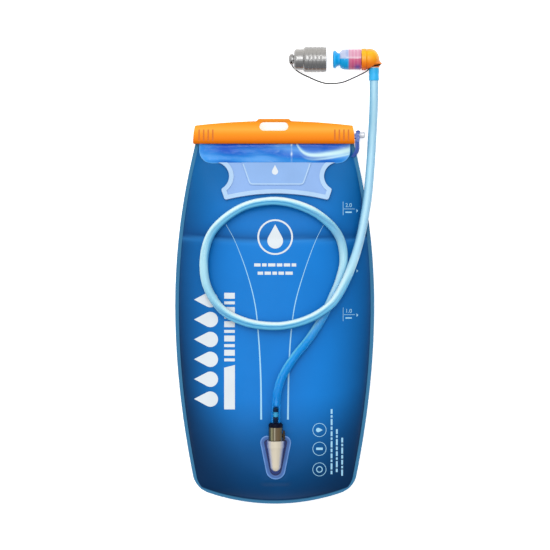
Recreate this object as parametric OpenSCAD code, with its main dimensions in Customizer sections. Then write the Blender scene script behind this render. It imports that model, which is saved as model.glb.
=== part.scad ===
// Two litre slide-top hydration bladder with a quick-release drinking tube.
// It lies flat, face up: X across the bag, Y towards the mouth, Z up from the surface.

/* [Water bag] */
// Largest width of the bag across the welded seams
bag_w = 219; // [214:1:222]
// Height of the filled bag above the seam, inside the film
bag_rise = 27; // [25:0.5:28]
// Thickness of each film panel
film_t = 0.8; // [0.6:0.1:1]
// Width of the flat weld round the bag
weld_w = 4; // [3:0.5:5]

/* [Closure] */
// Length of the slide bar
slider_l = 178; // [176:1:180]
// Total thickness of the slide bar
slider_t = 18.4; // [17.6:0.2:18.6]
// Half of the gap between the two mouth films
mouth_half = 2.4; // [2.2:0.1:2.6]
// Length of the hang slot in the bar
hang_slot_l = 31.6; // [26:0.2:33]
// Width of the hang slot
hang_slot_w = 9.4; // [8:0.2:9.6]

/* [Outlet] */
// Distance of the port axis from the bag's middle line
port_x = 1; // [0:0.5:3]
// Outer radius of the outlet socket at its mouth
socket_r = 9.5; // [9.2:0.1:9.6]
// Radius of the connector body
connector_r = 7.8; // [7.4:0.1:7.8]

/* [Drinking tube] */
// Outer diameter of the drinking tube
tube_d = 9.6; // [9:0.1:9.8]
// Diameter of the tether cord
tether_d = 1.3; // [1:0.1:1.4]

/* [Bite valve and cap] */
// Outer radius of the clear valve housing
housing_r = 11.3; // [11:0.1:11.5]
// Outer radius of the dust cap
cap_r = 14; // [13.4:0.1:14]

/* [Hidden] */
$fn = 64;

// Heights and ends of the bag
seam_z = 10;
top_y = 184;
bottom_y = -212;
widest_y = 0;
bag_l = top_y - bottom_y;
upper_side_r = 770;
lower_side_r = 880;
bottom_edge_r = 225;
corner_r = 12;
corner_x = 80;

// Shape of the filled bag
end_rise_l = 95;
section_power = 2.4;
section_blend = 0.75;
back_rise = 16;
neck_y = 163;
plate_angle = 20;
back_ramp = 0.3;
port_tilt = 6;
pad_y = -160;
pad_h = 22.8;

// Rows of points along the bag, as distances from its bottom edge
row_d = [0, 1.5, weld_w, 7, 12, 20, 30, 42, 56, 72, 90, 120, 160, 200, 240, 275, 305, 330, 350,
         362, 375, 387, bag_l];
section_n = 22;

// Slide bar and rails
bar_y = 183.6;
throat_half = 4.2;
rail_y = 189;
rail_w = 6;
rail_t = 2.6;
rail_x0 = -87.4;
rail_x1 = 89;
film_over = 0.6;
mouth_film_w = 164;
slider_x0 = -90;

// Outlet frame: the socket's mouth, with its axis along +Y, tipped up by port_tilt
mouth_y = -140.4;
axis_h = 9.2;
pad_z = seam_z + film_t + pad_h + tan(port_tilt) * (mouth_y - pad_y);
spigot_r = 5;
fit_gap = 0.05;

// Bite valve end: the tube's end, and the valve axis along X
end_x = 109;
end_y = 253;
valve_y = 276.5;
valve_z = 14;
flange_x = 95.4;
elbow_foot_y = 268;
loop_y = 269.1;

// Middle line of the drinking tube, from the connector to the elbow
tube_route = [
  [1, -121.5, 46.9], [1.5, -105, 48.5], [3, -88, 48], [9, -70, 45.6], [21, -51, 43.4], [37, -31, 41.6],
  [47, -16, 40.4], [55.5, -1, 39], [64, 17, 37.2], [71, 34, 34.8], [75.5, 54, 33.2], [73, 75, 34.4],
  [66.5, 88, 36], [56, 99, 38.4], [43, 108.5, 38.9], [27, 115.5, 37.4], [9, 119.8, 36], [-9, 120, 36],
  [-33, 114.5, 37.6], [-56, 100, 38.8], [-71, 82, 34.8], [-77.5, 55, 33], [-74, 27, 34.8],
  [-57, 1, 39], [-30, -12.5, 42.6], [0, -16.5, 44], [18, -14.5, 45.4], [36, -9, 47.4],
  [51, -1, 48.8], [64, 10, 48.4], [77, 32, 44], [86, 54, 36.6], [93.5, 79, 27], [101.5, 121, 16.8],
  [103.8, 142, 11.6], [106, 170, 5.6], [107.4, 195, 5.5], [108.6, 220, 11], [109, 238, 14],
  [109, end_y, valve_z]
];

// Middle line of the tether, from the loop on the elbow to the hole in the cap's nose
tether_route = [
  [104, 268.1, 19.1], [102.2, 264.5, 18.7], [99, 262.2, 15.8], [94.5, 260, 11], [89, 257.6, 6],
  [82, 254.6, 1.8], [75, 252, 0.9], [66, 250.6, 0.8], [56, 250.8, 0.8], [47, 253.4, 0.9],
  [38, 257.3, 1.6], [30, 261, 3.2], [24, 264.8, 5], [20.6, 268, 5.3], [19, 270.4, 5.1],
  [18.4, 272.4, 5.8], [18.3, 273.3, 7.8], [18.3, 273.4, 10.5]
];

// ---- Bag surface ----

function bottom_arc(x) = bottom_y + bottom_edge_r - sqrt(pow(bottom_edge_r, 2) - x * x);

function side_w(y) =
  let (r = y > widest_y ? upper_side_r : lower_side_r)
  bag_w / 2 - r + sqrt(r * r - pow(y - widest_y, 2));

function row_w(d) =
  let (
    low = bottom_arc(corner_x),
    rise = d * (top_y - low) / bag_l,
    k = corner_r - min(rise, corner_r)
  )
  side_w(low + rise) - corner_r + sqrt(pow(corner_r, 2) - k * k);

// Place across a section, from -1 to 1, crowded towards the welds
function across(j) = sin(90 * (2 * j / section_n - 1));

// Fullness of the bag at a place along it and across it, from 0 to 1
function fullness(d, q) =
  let (t = min(1, max(0, (d - weld_w) / end_rise_l)))
  pow(1 - pow(1 - t, 3), 0.7) * pow(max(0, 1 - pow(abs(q), section_power)), section_blend);

function neck_rise(y, slope) = mouth_half + slope * max(0, neck_y - y);

function front_h(d, q, y) =
  max(0, min(bag_rise * fullness(d, q), neck_rise(y, tan(plate_angle)),
             pad_h + tan(port_tilt) * (y - pad_y)));

function back_h(d, q, y) =
  max(0, min(back_rise * fullness(d, q), neck_rise(y, back_ramp), seam_z - film_t));

// One row of points: weld edge, section, weld edge
function row_x(d) =
  let (w = row_w(d))
  concat([-w], [for (j = [0:section_n]) across(j) * (w - weld_w)], [w]);

function row_q() = concat([-1], [for (j = [0:section_n]) across(j)], [1]);

function row_y(d, x) = bottom_arc(x) + d / bag_l * (top_y - bottom_arc(x));

// Inner and outer skins of a panel; side is 1 for the front and -1 for the back
function skin(side, outside) = [
  for (d = row_d)
    let (xs = row_x(d), qs = row_q())
    for (j = [0:len(xs) - 1])
      let (
        y = row_y(d, xs[j]),
        h = side > 0 ? front_h(d, qs[j], y) : back_h(d, qs[j], y)
      )
      [xs[j], y, seam_z + side * (h + (outside ? film_t : 0))]
];

module film_panel(side) {
  cols = section_n + 3;
  rows = len(row_d);
  total = rows * cols;
  points = concat(skin(side, true), skin(side, false));
  upper = side > 0 ? 0 : total;
  lower = total - upper;
  top_faces = [
    for (i = [0:rows - 2]) for (j = [0:cols - 2])
      let (a = upper + i * cols + j)
      each [[a, a + cols, a + cols + 1], [a, a + cols + 1, a + 1]]
  ];
  bottom_faces = [
    for (i = [0:rows - 2]) for (j = [0:cols - 2])
      let (a = lower + i * cols + j)
      each [[a, a + cols + 1, a + cols], [a, a + 1, a + cols + 1]]
  ];
  edge = concat(
    [for (j = [0:cols - 1]) j],
    [for (i = [1:rows - 1]) i * cols + cols - 1],
    [for (j = [1:cols - 1]) total - 1 - j],
    [for (i = [1:rows - 2]) (rows - 1 - i) * cols]
  );
  wall = [
    for (k = [0:len(edge) - 1])
      let (a = edge[k], b = edge[(k + 1) % len(edge)])
      each [[upper + a, upper + b, lower + b], [upper + a, lower + b, lower + a]]
  ];
  polyhedron(points, concat(top_faces, bottom_faces, wall), convexity = 6);
}

module back_panel() {
  color([0.07, 0.24, 0.5]) film_panel(-1);
}

module front_panel() {
  color([0.13, 0.45, 0.78]) film_panel(1);
}

// ---- Mouth, rails and slide bar ----

film_z = mouth_half + film_t;
rail_z = film_z + film_over;
rail_top = rail_z + rail_t;
cavity_half = rail_top + 0.5;
film_end_y = rail_y + rail_w;

// Outer mouth film: a strip with round lower corners that runs up into the slide bar
module mouth_film(side) {
  r = 14;
  w = mouth_film_w / 2;
  low_y = neck_y;
  leg_y = top_y + 0.3;
  translate([0, 0, seam_z]) mirror([0, 0, side < 0 ? 1 : 0]) {
    translate([0, 0, film_z]) linear_extrude(film_over) {
      translate([-w, low_y + r]) square([2 * w, film_end_y - low_y - r]);
      translate([-w + r, low_y]) square([2 * (w - r), r + 1]);
      for (x = [-w + r, w - r]) translate([x, low_y + r]) circle(r);
    }
    for (x = [-w, w - film_over])
      translate([x, leg_y, 0]) cube([film_over, film_end_y - leg_y, film_z + film_over / 2]);
  }
}

module mouth_film_back() {
  color([0.12, 0.36, 0.74]) mouth_film(-1);
}

module mouth_film_front() {
  color([0.3, 0.6, 0.95]) mouth_film(1);
}

// Rail: a bar with two bevelled edges, welded on the outside of a mouth film
module rail(side) {
  bevel = 0.8;
  translate([rail_x0, rail_y, seam_z]) mirror([0, 0, side < 0 ? 1 : 0])
    rotate([90, 0, 90]) linear_extrude(rail_x1 - rail_x0)
      polygon([[0, rail_z], [rail_w, rail_z], [rail_w, rail_top - bevel], [rail_w - bevel, rail_top],
               [bevel, rail_top], [0, rail_top - bevel]]);
}

module rail_back() {
  color([0.25, 0.4, 0.75]) rail(-1);
}

module rail_front() {
  color([0.25, 0.4, 0.75]) rail(1);
}

// End stop: joins both rails and carries the round knob that stops the bar
module rail_end_stop() {
  knob_r = 3.85;
  color([0.9, 0.92, 0.95]) {
    translate([rail_x1, rail_y - 3, seam_z - rail_top]) cube([4, rail_w + 4, 2 * rail_top]);
    translate([rail_x1 + 3.5, rail_y + 4.5, seam_z]) rotate([0, 90, 0]) {
      cylinder(h = 5.4, r = knob_r);
      translate([0, 0, 5.4]) cylinder(h = 1.5, r1 = knob_r, r2 = knob_r - 1.5);
    }
  }
}

bar_end_y = 203.4;
bar_mid_y = 208.9;
bar_rise = bar_mid_y - bar_end_y;
bar_arc_r = (pow(slider_l / 2, 2) + pow(bar_rise, 2)) / (2 * bar_rise);
bar_mid_x = slider_x0 + slider_l / 2;
handle_y = 211.2;
slot_y = 202.8;

// Front outline of the bar: leaning ends, a flat arch above, and the handle in the middle
module bar_outline() {
  round_r = 1.6;
  knee_y = 195.8;
  half = slider_l / 2;
  handle_top = 16.6;
  handle_foot = 19.6;
  offset(r = round_r) offset(delta = -round_r) translate([bar_mid_x, 0]) {
    intersection() {
      translate([0, bar_mid_y - bar_arc_r]) circle(bar_arc_r, $fn = 720);
      polygon([
        [-half, bar_y], [half, bar_y], [half - 0.8, knee_y], [half - 3.4, bar_mid_y],
        [-half + 3.4, bar_mid_y], [-half + 0.8, knee_y]
      ]);
    }
    polygon([
      [-handle_foot, bar_mid_y - 8], [handle_foot, bar_mid_y - 8], [handle_foot, bar_mid_y - 0.6],
      [handle_top, handle_y], [-handle_top, handle_y], [-handle_foot, bar_mid_y - 0.6]
    ]);
  }
}

// End view of the bar: a rounded body that falls away to the thinner handle
module bar_section() {
  half = slider_t / 2;
  lip = 4.6;
  nose_l = 6;
  nose_h = 3.4;
  shoulder_y = 192.5;
  round_l = 15.5;
  side = concat(
    [for (a = [0:15:90]) [bar_y + nose_l * (1 - cos(a)), half - nose_h * (1 - sin(a))]],
    [for (a = [0:10:90]) [shoulder_y + round_l * sin(a), lip + (half - lip) * cos(a)]],
    [[handle_y - 1, lip], [handle_y, lip - 1]]
  );
  polygon(concat(side, [for (i = [len(side) - 1:-1:0]) [side[i][0], -side[i][1]]]));
}

module slider() {
  wall = 2.2;
  rib_step = 5;
  color([0.98, 0.56, 0.1]) difference() {
    intersection() {
      translate([0, 0, seam_z - slider_t / 2]) linear_extrude(slider_t) bar_outline();
      translate([slider_x0 - 1, 0, seam_z]) rotate([90, 0, 90]) linear_extrude(slider_l + 2)
        bar_section();
    }
    translate([slider_x0 + wall, bar_y - 1, seam_z - throat_half])
      cube([slider_l, rail_y - bar_y + 1, 2 * throat_half]);
    translate([slider_x0 + wall, rail_y - 0.4, seam_z - cavity_half])
      cube([slider_l, rail_w + 0.8, 2 * cavity_half]);
    for (x = [-1, 1])
      translate([bar_mid_x + x * (hang_slot_l - hang_slot_w) / 2, slot_y, 0])
        cylinder(h = 2 * slider_t, d = hang_slot_w);
    translate([bar_mid_x - (hang_slot_l - hang_slot_w) / 2, slot_y - hang_slot_w / 2, 0])
      cube([hang_slot_l - hang_slot_w, hang_slot_w, 2 * slider_t]);
    for (end = [-1, 1]) for (i = [0:3]) for (face = [-1, 1])
      translate([bar_mid_x + end * (slider_l / 2 - 7 - i * rib_step) - 0.8, bar_y + 3,
                 seam_z + face * (slider_t / 2 + 0.5) - 1])
        cube([1.6, 13, 2]);
  }
}

// Stiffener plate, flat, with sharp corners; its top edge on Y = top
module plate_blank(top) {
  plate_w = 121;
  wing_w = 130;
  plate_l = 44;
  notch_r = 17;
  notch_y = -16.2;
  corner_cut = 3.8;
  bottom_bow_r = 216;
  bow_depth = 7.6;
  difference() {
    polygon([
      [-wing_w / 2, top], [wing_w / 2, top], [wing_w / 2, -8], [plate_w / 2, -16],
      [plate_w / 2, -plate_l + 12], [plate_w / 2 - corner_cut, -plate_l],
      [-plate_w / 2 + corner_cut, -plate_l], [-plate_w / 2, -plate_l + 12],
      [-plate_w / 2, -16], [-wing_w / 2, -8]
    ]);
    for (x = [-1, 1]) translate([x * (plate_w / 2 + notch_r - 8.4), notch_y]) circle(notch_r);
    translate([0, -plate_l - bottom_bow_r + bow_depth]) circle(bottom_bow_r, $fn = 360);
  }
}

// The plate's outline: its lower corners rounded, its wings left pointed
module plate_outline(top) {
  corner_r = 2.6;
  offset(r = corner_r) offset(delta = -corner_r) plate_blank(top);
  intersection() {
    plate_blank(top);
    translate([-100, -26]) square([200, 26 + top]);
  }
}

// Stiffener plate on the slope below the mouth, with a raised rim and a raised middle field
module grip_plate() {
  plate_t = 1.6;
  rim_w = 5;
  rim_t = 0.7;
  top_gap = 0.6;
  film_gap = 0.25;
  color([0.62, 0.74, 0.93])
    translate([2, neck_y - top_gap, seam_z + film_z + top_gap * tan(plate_angle) + film_gap])
    rotate([-plate_angle, 0, 0]) {
      linear_extrude(plate_t) plate_outline(0);
      linear_extrude(plate_t + rim_t) difference() {
        plate_outline(0);
        offset(delta = -rim_w) plate_outline(12);
      }
      linear_extrude(plate_t + rim_t) intersection() {
        offset(r = 5) polygon([[-35, 6], [35, 6], [26.2, -21.5], [-26.2, -21.5]]);
        translate([-60, -40]) square([120, 40]);
      }
    }
}

// ---- Outlet port ----

module at_port() {
  translate([port_x, mouth_y, pad_z]) rotate([port_tilt, 0, 0]) children();
}

// Turns a shape drawn up +Z so that it runs along the outlet's +Y, on the socket's axis
module on_axis() {
  translate([0, 0, axis_h]) rotate([-90, 0, 0]) children();
}

// Flange outline: broad and round at the mouth, narrower at the foot, grown by the given amount
module flange_outline(grow) {
  hull() {
    for (x = [-9.4, 9.4]) translate([x, -3.4]) circle(7.5 + grow, $fn = 48);
    translate([0, -33.4]) circle(10.8 + grow, $fn = 48);
  }
}

flange_t = 1.2;

module port_flange() {
  groove_out = -4.2;
  groove_in = -6;
  color([0.46, 0.58, 0.9]) at_port() difference() {
    linear_extrude(flange_t) flange_outline(0);
    translate([0, 0, flange_t - 0.5]) linear_extrude(1) difference() {
      flange_outline(groove_out);
      flange_outline(groove_in);
    }
    translate([0, -22, -1]) cylinder(h = 4, r = 3);
  }
}

module port_socket() {
  color([0.88, 0.83, 0.76]) at_port() {
    difference() {
      union() {
        on_axis() rotate_extrude() polygon(concat(
          [[0, 0], [socket_r, 0], [socket_r - 0.2, -7.4], [socket_r - 0.9, -8.6], [5.8, -28.5]],
          [for (a = [15:15:90]) [5.8 * cos(a), -28.5 - 5.2 * sin(a)]]
        ));
        translate([-4.5, -30, flange_t]) cube([9, 29, axis_h - flange_t]);
      }
      on_axis() {
        translate([0, 0, -13.5]) cylinder(h = 14, r = spigot_r + fit_gap);
        translate([0, 0, -16]) cylinder(h = 4, r = 3.2);
        translate([0, 0, -29.5]) cylinder(h = 14.5, r = 4.8);
      }
      translate([0, -22, 0]) cylinder(h = axis_h, r = 3);
      translate([-12, -37, -3]) cube([24, 40, 3 + flange_t]);
    }
  }
}

// Shut-off plunger: head below the seat, stem up through it to the connector's tip
module port_poppet() {
  color([0.92, 0.92, 0.9]) at_port() on_axis() {
    translate([0, 0, -20.5]) cylinder(h = 2, r = 4.4);
    translate([0, 0, -18.6]) cylinder(h = 5.7, r = 1.5);
  }
}

module poppet_seal() {
  color([0.15, 0.15, 0.16]) at_port() on_axis() translate([0, 0, -18.5]) difference() {
    cylinder(h = 0.8, r = 4.2);
    translate([0, 0, -1]) cylinder(h = 3, r = 3.3);
  }
}

// Coil spring along +Z, one closed tube of wire
module coil(length, coil_r, wire_r, turns) {
  steps = 12;
  sides = 6;
  rings = turns * steps;
  points = [
    for (i = [0:rings])
      let (a = i * 360 / steps, h = wire_r + (length - 2 * wire_r) * i / rings)
      for (k = [0:sides - 1])
        let (b = k * 360 / sides, r = coil_r + wire_r * cos(b))
        [r * cos(a), r * sin(a), h + wire_r * sin(b)]
  ];
  side_faces = [
    for (i = [0:rings - 1]) for (k = [0:sides - 1])
      let (a = i * sides + k, b = i * sides + (k + 1) % sides)
      each [[a, b, b + sides], [a, b + sides, a + sides]]
  ];
  start_cap = [[for (k = [sides - 1:-1:0]) k]];
  end_cap = [[for (k = [0:sides - 1]) rings * sides + k]];
  polyhedron(points, concat(side_faces, start_cap, end_cap), convexity = 10);
}

module poppet_spring() {
  color([0.75, 0.75, 0.77]) at_port() on_axis() translate([0, 0, -29.3]) coil(8.6, 3.2, 0.35, 4);
}

// ---- Quick connector ----

button_h = 5.7;
body_l = 14.8;

module connector_body() {
  color([0.45, 0.42, 0.26]) at_port() difference() {
    on_axis() rotate_extrude() polygon([
      [3, -12.7], [4.4, -12.7], [spigot_r, -12], [spigot_r, -8], [4, -8], [4, -6.2],
      [spigot_r, -6.2], [spigot_r, 0.3], [connector_r - 0.6, 0.3], [connector_r, 0.9],
      [connector_r, body_l], [4.05, body_l], [4.05, 10.2], [3, 10.2]
    ]);
    translate([3.9, button_h, axis_h]) rotate([0, 90, 0]) cylinder(h = 8, r = 2.3);
    translate([6.3, button_h - 5.8, axis_h - 3.8]) cube([4, 11.6, 7.6]);
  }
}

module connector_collar() {
  color([0.09, 0.1, 0.12]) at_port() on_axis() translate([0, 0, body_l]) difference() {
    union() {
      cylinder(h = 3.4, r = connector_r);
      translate([0, 0, 3.4]) cylinder(h = 1.6, r1 = connector_r, r2 = 6);
    }
    translate([0, 0, -1]) cylinder(h = 8, r = 3.3);
  }
}

// Hose tail with two broad barbs, seated in the body and pushed into the tube
module connector_barb() {
  color([0.07, 0.08, 0.1]) at_port() on_axis() rotate_extrude() polygon([
    [2, 10.2], [4, 10.2], [4, body_l], [3.25, body_l], [3.25, 21.8], [3.95, 22.2], [3.95, 24],
    [3.25, 26.6], [3.25, 31.2], [3.95, 31.6], [3.6, 34.6], [2.8, 36.6], [2, 36.6]
  ]);
}

module connector_o_ring() {
  color([0.1, 0.1, 0.1]) at_port() on_axis() translate([0, 0, -7.1])
    rotate_extrude() translate([4.53, 0]) circle(0.49, $fn = 24);
}

module release_button() {
  color([0.3, 0.28, 0.18]) at_port() {
    translate([7.8, button_h - 5.3, axis_h - 3.3]) cube([2.2, 10.6, 6.6]);
    translate([5.5, button_h, axis_h]) rotate([0, 90, 0]) cylinder(h = 3, r = 2.2);
    for (i = [-1:1]) translate([9.8, button_h + 2.6 * i - 0.5, axis_h - 2.8]) cube([0.7, 1, 5.6]);
  }
}

module button_spring() {
  color([0.75, 0.75, 0.77]) at_port() translate([3.95, button_h, axis_h]) rotate([0, 90, 0])
    coil(1.5, 1.4, 0.2, 2);
}

// ---- Drinking tube and tether ----

function unit(v) = v / norm(v);

// Closed tube of round section swept along a route, its sides kept level with the surface
module swept_tube(route, d, sides) {
  last = len(route) - 1;
  points = [
    for (i = [0:last])
      let (
        along = unit(route[min(i + 1, last)] - route[max(i - 1, 0)]),
        flat = unit(cross([0, 0, 1], along)),
        up = cross(along, flat)
      )
      for (k = [0:sides - 1])
        route[i] + d / 2 * (cos(k * 360 / sides) * flat + sin(k * 360 / sides) * up)
  ];
  side_faces = [
    for (i = [0:last - 1]) for (k = [0:sides - 1])
      let (a = i * sides + k, b = i * sides + (k + 1) % sides)
      each [[a, b + sides, b], [a, a + sides, b + sides]]
  ];
  start_cap = [[for (k = [0:sides - 1]) k]];
  end_cap = [[for (k = [sides - 1:-1:0]) last * sides + k]];
  polyhedron(points, concat(side_faces, start_cap, end_cap), convexity = 10);
}

module drink_tube() {
  color([0.62, 0.85, 0.98]) swept_tube(tube_route, tube_d, 12);
}

module tether_cord() {
  color([0.12, 0.1, 0.1]) swept_tube(tether_route, tether_d, 8);
}

// ---- Elbow and swivel ----

// Turns a shape drawn up +Z so that it runs along +Y, on the tube's end axis
module on_tube_end() {
  translate([end_x, end_y, valve_z]) rotate([-90, 0, 0]) children();
}

// Turns a shape drawn up +Z so that it runs along +X, on the valve's axis
module on_valve() {
  translate([0, valve_y, valve_z]) rotate([0, 90, 0]) children();
}

module tube_collar() {
  color([0.12, 0.52, 0.86]) on_tube_end() rotate_extrude() polygon([
    [3.35, 0], [5, 0], [5.6, 0.6], [5.6, 5], [5.3, 7], [5.7, 9.5], [5.7, 13.4], [5.1, 14], [3.35, 14]
  ]);
}

module swivel_stem() {
  color([0.85, 0.9, 0.95]) on_tube_end() rotate_extrude() polygon([
    [2, -14], [3, -14], [3.9, -10.5], [3.2, -10.3], [3.2, -7.5], [3.9, -4.2], [3.3, -4], [3.3, 14],
    [5.4, 14], [5.4, 14.8], [3.6, 14.8], [3.6, 17.5], [2.8, 17.5], [2.8, 19.1], [3.6, 19.1],
    [3.6, 21.5], [2, 21.5]
  ]);
}

module swivel_o_ring() {
  color([0.1, 0.1, 0.1]) on_tube_end() translate([0, 0, 18.3])
    rotate_extrude() translate([3.21, 0]) circle(0.39, $fn = 24);
}

module elbow() {
  spigot_x = 83;
  barrel_r = 11.7;
  end_l = 10;
  round_x = 105;
  neck_l = 3.2;
  collar_room_r = 8.3;
  color([0.99, 0.65, 0.1]) difference() {
    union() {
      difference() {
        on_valve() rotate_extrude() polygon(concat(
          [[0, spigot_x], [6.5, spigot_x], [6.5, 84.2], [5.5, 84.2], [5.5, 86], [6.5, 86],
           [6.5, flange_x], [11.6, flange_x], [12.1, flange_x + 0.5], [12.1, 100.2], [11.6, 100.6],
           [11.2, 101.2], [barrel_r, 101.8], [barrel_r, round_x]],
          [for (a = [10:10:90]) [barrel_r * cos(a), round_x + end_l * sin(a)]]
        ));
        translate([end_x, elbow_foot_y - 8, valve_z]) rotate([-90, 0, 0])
          cylinder(h = 8 + neck_l, r = collar_room_r);
      }
      translate([end_x, elbow_foot_y, valve_z]) rotate([-90, 0, 0]) rotate_extrude() polygon([
        [0, 0], [6.2, 0], [6.2, neck_l], [8.5, neck_l], [9, neck_l + 0.5], [8.8, neck_l + 1.2],
        [7.4, 5.6], [6.4, 7.2], [5.8, 9.6], [0, 10.5]
      ]);
    }
    on_valve() translate([0, 0, spigot_x - 1]) cylinder(h = end_x - spigot_x + 1, r = 4);
    translate([end_x, elbow_foot_y - 1, valve_z]) rotate([-90, 0, 0])
      cylinder(h = 9, r = 3.6 + fit_gap);
  }
}

module core_o_ring() {
  color([0.1, 0.1, 0.1]) on_valve() translate([0, 0, 85.1])
    rotate_extrude() translate([6.01, 0]) circle(0.49, $fn = 24);
}

// Loop of the tether round the elbow's neck, lower on the side that the tether leaves from
module tether_loop() {
  loop_r = 7.1;
  loop_tilt = 11;
  color([0.12, 0.1, 0.1]) translate([end_x, loop_y, valve_z]) rotate([-90, 0, loop_tilt])
    rotate_extrude() translate([loop_r, 0]) circle(tether_d / 2, $fn = 24);
}

// ---- Bite valve and cap ----

core_r = 9.3;
core_x = 82.8;
core_end_x = 94.9;

// Inner sleeve with three raised turns of the helix
module valve_core() {
  color([0.88, 0.38, 0.56]) on_valve() difference() {
    union() {
      translate([0, 0, core_x]) cylinder(h = core_end_x - core_x, r = 8.6);
      for (x = [core_x, 86.6, 90.4, 93.3]) translate([0, 0, x]) cylinder(h = 1.6, r = core_r);
    }
    translate([0, 0, core_x - 1]) cylinder(h = 17, r = 6.5 + fit_gap);
  }
}

module valve_housing() {
  color([0.8, 0.9, 0.98]) on_valve() rotate_extrude() polygon(concat(
    [[7, 71.5]],
    [for (a = [0:15:90]) [7.3 + (housing_r - 7.3) * sin(a), 78.5 - 7 * cos(a)]],
    [[housing_r, 94.6], [housing_r - 0.5, 95.1], [core_r + fit_gap, 95.1], [core_r + fit_gap, 76.2],
     [7, 73]]
  ));
}

// Soft bite piece: a plug behind the housing's front wall, a neck and a flared lip
module mouthpiece() {
  color([0.05, 0.62, 0.93]) on_valve() rotate_extrude() polygon([
    [3, 64.4], [8.2, 64], [9.6, 64.6], [10.1, 65.8], [9.8, 66.8], [7.8, 68.6], [6.9, 70.4],
    [6.95, 73.1], [9.2, 76.2], [9.2, 79], [8.6, 79.4], [5, 79.4], [4.2, 70], [3, 67]
  ]);
}

module dust_cap() {
  body_x = 32.4;
  mouth_x = 56.6;
  bore_r = housing_r + 0.4;
  color([0.5, 0.49, 0.47]) difference() {
    on_valve() rotate_extrude() polygon(concat(
      [[0, 15]],
      [for (a = [15:15:75]) [6.2 * sin(a), 18.2 - 3.2 * cos(a)]],
      [[6.2, 18.2], [6.2, 20.2], [4.6, 20.6], [4.6, 21.2], [9.6, 21.2], [11.2, 22.6], [11.5, 24],
       [11.5, 31], [12.2, body_x - 0.6], [13.4, body_x], [cap_r - 0.2, body_x + 1]],
      [for (i = [0:4]) each [
        [cap_r, body_x + 2 + 4.2 * i], [cap_r, body_x + 4.6 + 4.2 * i],
        [cap_r - 0.3, body_x + 5 + 4.2 * i], [cap_r - 0.3, body_x + 5.7 + 4.2 * i]
      ]],
      [[cap_r - 0.3, mouth_x - 0.3], [cap_r - 0.6, mouth_x], [bore_r + 0.3, mouth_x],
       [bore_r, mouth_x - 0.3], [bore_r, 33.2], [10.5, 33.2], [10.5, 24.2], [0, 24.2]]
    ));
    translate([18.3, valve_y - 3.1, 0]) rotate([0, 0, -12]) {
      for (x = [-1.1, 1.1]) translate([x, 0, 0]) cylinder(h = 2 * valve_z, r = 1);
      translate([-1.1, -1, 0]) cube([2.2, 2, 2 * valve_z]);
    }
  }
}

back_panel();
front_panel();
mouth_film_back();
mouth_film_front();
rail_back();
rail_front();
rail_end_stop();
slider();
grip_plate();
port_flange();
port_socket();
port_poppet();
poppet_seal();
poppet_spring();
connector_body();
connector_collar();
connector_barb();
connector_o_ring();
release_button();
button_spring();
drink_tube();
tube_collar();
swivel_stem();
swivel_o_ring();
elbow();
core_o_ring();
valve_core();
valve_housing();
mouthpiece();
dust_cap();
tether_loop();
tether_cord();
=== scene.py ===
"""Looks of the slide-top hydration bladder, built round its CAD frame; places are in millimetres."""
import math

import bmesh
import bpy
from mathutils import Matrix, Vector, noise
from mathutils.bvhtree import BVHTree


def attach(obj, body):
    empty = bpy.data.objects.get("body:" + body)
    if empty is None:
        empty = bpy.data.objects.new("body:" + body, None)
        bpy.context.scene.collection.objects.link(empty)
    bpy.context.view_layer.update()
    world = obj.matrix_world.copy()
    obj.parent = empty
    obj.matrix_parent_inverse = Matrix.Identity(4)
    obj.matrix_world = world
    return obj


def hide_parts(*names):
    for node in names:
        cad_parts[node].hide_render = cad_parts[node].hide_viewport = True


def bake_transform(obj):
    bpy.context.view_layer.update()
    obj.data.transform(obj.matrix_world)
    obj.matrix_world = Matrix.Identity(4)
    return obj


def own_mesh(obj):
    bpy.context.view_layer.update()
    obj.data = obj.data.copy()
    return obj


MM = 0.001

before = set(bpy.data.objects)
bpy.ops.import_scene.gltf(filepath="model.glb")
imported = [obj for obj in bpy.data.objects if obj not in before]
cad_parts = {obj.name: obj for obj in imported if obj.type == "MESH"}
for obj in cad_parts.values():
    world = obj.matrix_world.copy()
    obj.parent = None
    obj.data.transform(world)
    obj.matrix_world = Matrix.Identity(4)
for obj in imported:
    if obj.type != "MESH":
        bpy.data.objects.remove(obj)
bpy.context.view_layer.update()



def new_object(name, data):
    obj = bpy.data.objects.new(name, data)
    bpy.context.collection.objects.link(obj)
    return obj


def new_mesh(name, verts, faces):
    mesh = bpy.data.meshes.new(name)
    mesh.from_pydata(verts, [], faces)
    return mesh


def mesh_from(bm, name):
    """The mesh made in bm, which is then let go."""
    mesh = bpy.data.meshes.new(name)
    bm.to_mesh(mesh)
    bm.free()
    return mesh


def put(node, **inputs):
    """Gives a node's inputs a value or another node's output; _ stands for a space in their names."""
    for name, value in inputs.items():
        socket = node.inputs[name.replace("_", " ")]
        if isinstance(value, bpy.types.NodeSocket):
            node.id_data.links.new(value, socket)
        else:
            socket.default_value = value


def add_node(tree, kind, **inputs):
    node = tree.nodes.new("ShaderNode" + kind)
    put(node, **inputs)
    return node


# ---- Camera, lights and floor ----

VIEW_W = 0.605  # width of the picture, measured on the bag's seam
CAMERA_H = 5.0
SEAM_Z = 0.010
VIEW_CENTRE = (0.0003, 0.0395)
SENSOR = 36.0


def make_camera():
    data = bpy.data.cameras.new("camera")
    data.sensor_width = SENSOR
    data.lens = SENSOR * (CAMERA_H - SEAM_Z) / VIEW_W
    data.clip_end = 50
    camera = new_object("camera", data)
    camera.location = (*VIEW_CENTRE, CAMERA_H)
    bpy.context.scene.camera = camera


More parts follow.
